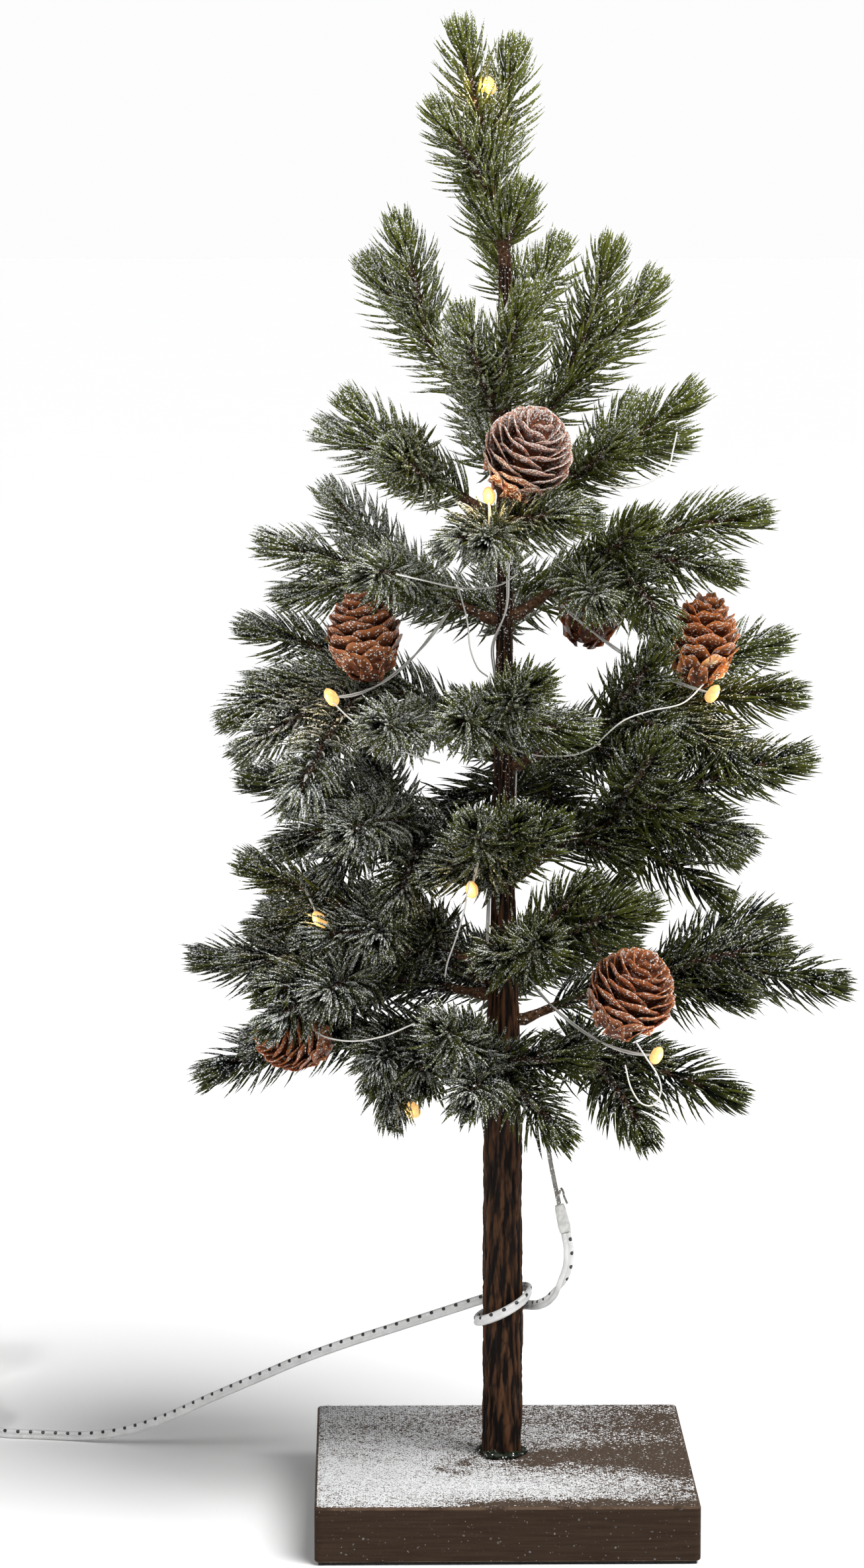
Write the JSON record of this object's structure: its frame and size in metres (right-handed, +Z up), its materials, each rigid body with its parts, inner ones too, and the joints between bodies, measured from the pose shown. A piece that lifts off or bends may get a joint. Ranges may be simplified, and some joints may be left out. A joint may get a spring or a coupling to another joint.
{
  "type": "artificial tabletop tree",
  "caption": "Frosted artificial tabletop fir on a square stained block, with bendable wired branches, pine cones, warm lamps on thin wire and a white low-voltage lead.",
  "frame": {"origin": "centre of the underside of the base's pad, on the surface that the tree stands on", "axes": "+Z up along the trunk, -Y towards the front, +X to the right seen from the front"},
  "size_m": [0.4338, 0.3418, 0.5963],
  "materials": {
    "stained_block": "matte",
    "black_foam": "matte",
    "zinc_steel": "satin",
    "bark": "matte",
    "dark_glue": "gloss",
    "needles": "satin",
    "cone_scales": "satin",
    "lamp": "gloss",
    "clear_wire": "gloss",
    "white_sleeve": "satin",
    "white_pvc": "satin",
    "black_tie": "matte",
    "white_housing": "satin",
    "pin_nickel": "satin"
  },
  "bodies": {
    "stand": {"adapter_body": "white_housing", "adapter_pin_front": "pin_nickel", "adapter_pin_rear": "pin_nickel", "adapter_strain_relief": "white_housing", "base_block": "stained_block", "base_pad": "black_foam", "coil_tie": "black_tie", "cord_coil": "white_pvc", "cord_run": "white_pvc", "cord_tail": "white_pvc", "glue_collar": "dark_glue", "lead_wire_front": "clear_wire", "lead_wire_rear": "clear_wire", "light_string": "clear_wire", "screw_washer": "zinc_steel", "splice_sleeve": "white_sleeve", "trunk": "bark", "trunk_screw": "zinc_steel"},
    "branch_upper_left": {"branch_upper_left": "needles"},
    "branch_upper_rear": {"branch_upper_rear": "needles"},
    "branch_upper_right": {"branch_upper_right": "needles"},
    "branch_upper_front": {"branch_upper_front": "needles"},
    "branch_second_left": {"branch_second_left": "needles"},
    "branch_second_right": {"branch_second_right": "needles"},
    "branch_second_front": {"branch_second_front": "needles", "cone_top_front": "cone_scales", "light_cone_top": "lamp"},
    "branch_second_rear": {"branch_second_rear": "needles"},
    "branch_third_left": {"branch_third_left": "needles", "cone_left": "cone_scales", "light_left": "lamp"},
    "branch_third_right": {"branch_third_right": "needles", "cone_rear": "cone_scales", "cone_right": "cone_scales", "light_right": "lamp"},
    "branch_third_rear": {"branch_third_rear": "needles"},
    "branch_fourth_left": {"branch_fourth_left": "needles"},
    "branch_fourth_front": {"branch_fourth_front": "needles"},
    "branch_fourth_right": {"branch_fourth_right": "needles"},
    "branch_fourth_rear": {"branch_fourth_rear": "needles"},
    "branch_fifth_left": {"branch_fifth_left": "needles"},
    "branch_fifth_front": {"branch_fifth_front": "needles", "light_middle": "lamp"},
    "branch_fifth_right": {"branch_fifth_right": "needles"},
    "branch_sixth_left": {"branch_sixth_left": "needles", "light_far_left": "lamp"},
    "branch_sixth_front": {"branch_sixth_front": "needles", "cone_low_front": "cone_scales", "light_low_front": "lamp"},
    "branch_low_left": {"branch_low_left": "needles", "cone_low_left": "cone_scales"},
    "branch_low_right": {"branch_low_right": "needles"},
    "branch_low_rear": {"branch_low_rear": "needles"},
    "branch_bottom_left": {"branch_bottom_left": "needles", "light_low_left": "lamp"},
    "branch_bottom_front": {"branch_bottom_front": "needles"},
    "branch_bottom_right": {"branch_bottom_right": "needles"},
    "leader": {"leader": "needles", "light_top": "lamp"}
  },
  "joints": [
    {"name": "upper_left_bend", "type": "hinge", "parent": "stand", "child": "branch_upper_left", "pos_m": [-0.00511, 0.0009, 0.4443], "axis": [0.1736, 0.9848, 0], "range_deg": [-20, 25]},
    {"name": "upper_rear_bend", "type": "hinge", "parent": "stand", "child": "branch_upper_rear", "pos_m": [0.00196, 0.00463, 0.4703], "axis": [0.9205, -0.3907, 0], "range_deg": [-20, 25]},
    {"name": "upper_right_bend", "type": "hinge", "parent": "stand", "child": "branch_upper_right", "pos_m": [0.0052, 0.00082, 0.4323], "axis": [0.1564, -0.9877, 0], "range_deg": [-20, 25]},
    {"name": "upper_front_bend", "type": "hinge", "parent": "stand", "child": "branch_upper_front", "pos_m": [-0.00188, -0.0049, 0.4343], "axis": [-0.9336, 0.3584, 0], "range_deg": [-20, 25]},
    {"name": "second_left_bend", "type": "hinge", "parent": "stand", "child": "branch_second_left", "pos_m": [-0.00543, 0.00038, 0.4033], "axis": [0.0698, 0.9976, 0], "range_deg": [-20, 20]},
    {"name": "second_right_bend", "type": "hinge", "parent": "stand", "child": "branch_second_right", "pos_m": [0.00538, -0.00066, 0.4073], "axis": [-0.1219, -0.9925, 0], "range_deg": [-20, 25]},
    {"name": "second_front_bend", "type": "hinge", "parent": "stand", "child": "branch_second_front", "pos_m": [-0.00076, -0.00539, 0.4033], "axis": [-0.9903, 0.1392, 0], "range_deg": [-20, 25]},
    {"name": "second_rear_bend", "type": "hinge", "parent": "stand", "child": "branch_second_rear", "pos_m": [-0.00094, 0.00531, 0.4123], "axis": [0.9848, 0.1736, 0], "range_deg": [-20, 25]},
    {"name": "third_left_bend", "type": "hinge", "parent": "stand", "child": "branch_third_left", "pos_m": [-0.00564, 0.00059, 0.3613], "axis": [0.1045, 0.9945, 0], "range_deg": [-20, 25]},
    {"name": "third_right_bend", "type": "hinge", "parent": "stand", "child": "branch_third_right", "pos_m": [0.00566, 0.0003, 0.3633], "axis": [0.0523, -0.9986, 0], "range_deg": [-5, 25]},
    {"name": "third_rear_bend", "type": "hinge", "parent": "stand", "child": "branch_third_rear", "pos_m": [0.0002, 0.00573, 0.3503], "axis": [0.9994, -0.0349, 0], "range_deg": [-20, 25]},
    {"name": "fourth_left_bend", "type": "hinge", "parent": "stand", "child": "branch_fourth_left", "pos_m": [-0.00556, 0.00213, 0.3103], "axis": [0.3584, 0.9336, 0], "range_deg": [-20, 25]},
    {"name": "fourth_front_bend", "type": "hinge", "parent": "stand", "child": "branch_fourth_front", "pos_m": [-0.00133, -0.00576, 0.3183], "axis": [-0.9744, 0.225, 0], "range_deg": [-20, 25]},
    {"name": "fourth_right_bend", "type": "hinge", "parent": "stand", "child": "branch_fourth_right", "pos_m": [0.00599, 0.00021, 0.3033], "axis": [0.0349, -0.9994, 0], "range_deg": [-20, 25]},
    {"name": "fourth_rear_bend", "type": "hinge", "parent": "stand", "child": "branch_fourth_rear", "pos_m": [0.00153, 0.00612, 0.2863], "axis": [0.9703, -0.2419, 0], "range_deg": [-20, 25]},
    {"name": "fifth_left_bend", "type": "hinge", "parent": "stand", "child": "branch_fifth_left", "pos_m": [-0.00664, 0.00129, 0.2653], "axis": [0.1908, 0.9816, 0], "range_deg": [-20, 25]},
    {"name": "fifth_front_bend", "type": "hinge", "parent": "stand", "child": "branch_fifth_front", "pos_m": [-0.00121, -0.00688, 0.2553], "axis": [-0.9848, 0.1736, 0], "range_deg": [-20, 20]},
    {"name": "fifth_right_bend", "type": "hinge", "parent": "stand", "child": "branch_fifth_right", "pos_m": [0.00667, -0.00166, 0.2603], "axis": [-0.2419, -0.9703, 0], "range_deg": [-20, 10]},
    {"name": "sixth_left_bend", "type": "hinge", "parent": "stand", "child": "branch_sixth_left", "pos_m": [-0.0075, -0.00215, 0.2233], "axis": [-0.2756, 0.9613, 0], "range_deg": [-10, 20]},
    {"name": "sixth_front_bend", "type": "hinge", "parent": "stand", "child": "branch_sixth_front", "pos_m": [0.00108, -0.00768, 0.2253], "axis": [-0.9903, -0.1392, 0], "range_deg": [-20, 20]},
    {"name": "low_left_bend", "type": "hinge", "parent": "stand", "child": "branch_low_left", "pos_m": [-0.00802, 0.00127, 0.2113], "axis": [0.1564, 0.9877, 0], "range_deg": [-15, 10]},
    {"name": "low_right_bend", "type": "hinge", "parent": "stand", "child": "branch_low_right", "pos_m": [0.00839, 0, 0.2013], "axis": [0, -1, 0], "range_deg": [-20, 15]},
    {"name": "low_rear_bend", "type": "hinge", "parent": "stand", "child": "branch_low_rear", "pos_m": [-0.00029, 0.0083, 0.2043], "axis": [0.9994, 0.0349, 0], "range_deg": [-20, 25]},
    {"name": "bottom_left_bend", "type": "hinge", "parent": "stand", "child": "branch_bottom_left", "pos_m": [-0.00869, -0.00076, 0.1923], "axis": [-0.0872, 0.9962, 0], "range_deg": [-20, 15]},
    {"name": "bottom_front_bend", "type": "hinge", "parent": "stand", "child": "branch_bottom_front", "pos_m": [-0.00154, -0.00875, 0.1883], "axis": [-0.9848, 0.1736, 0], "range_deg": [-20, 25]},
    {"name": "bottom_right_bend", "type": "hinge", "parent": "stand", "child": "branch_bottom_right", "pos_m": [0.00873, -0.00186, 0.1873], "axis": [-0.2079, -0.9781, 0], "range_deg": [-20, 25]},
    {"name": "leader_bend", "type": "hinge", "parent": "stand", "child": "leader", "pos_m": [0, 0, 0.5028], "axis": [-0.5446, 0.8387, 0], "range_deg": [-20, 25]}
  ]
}
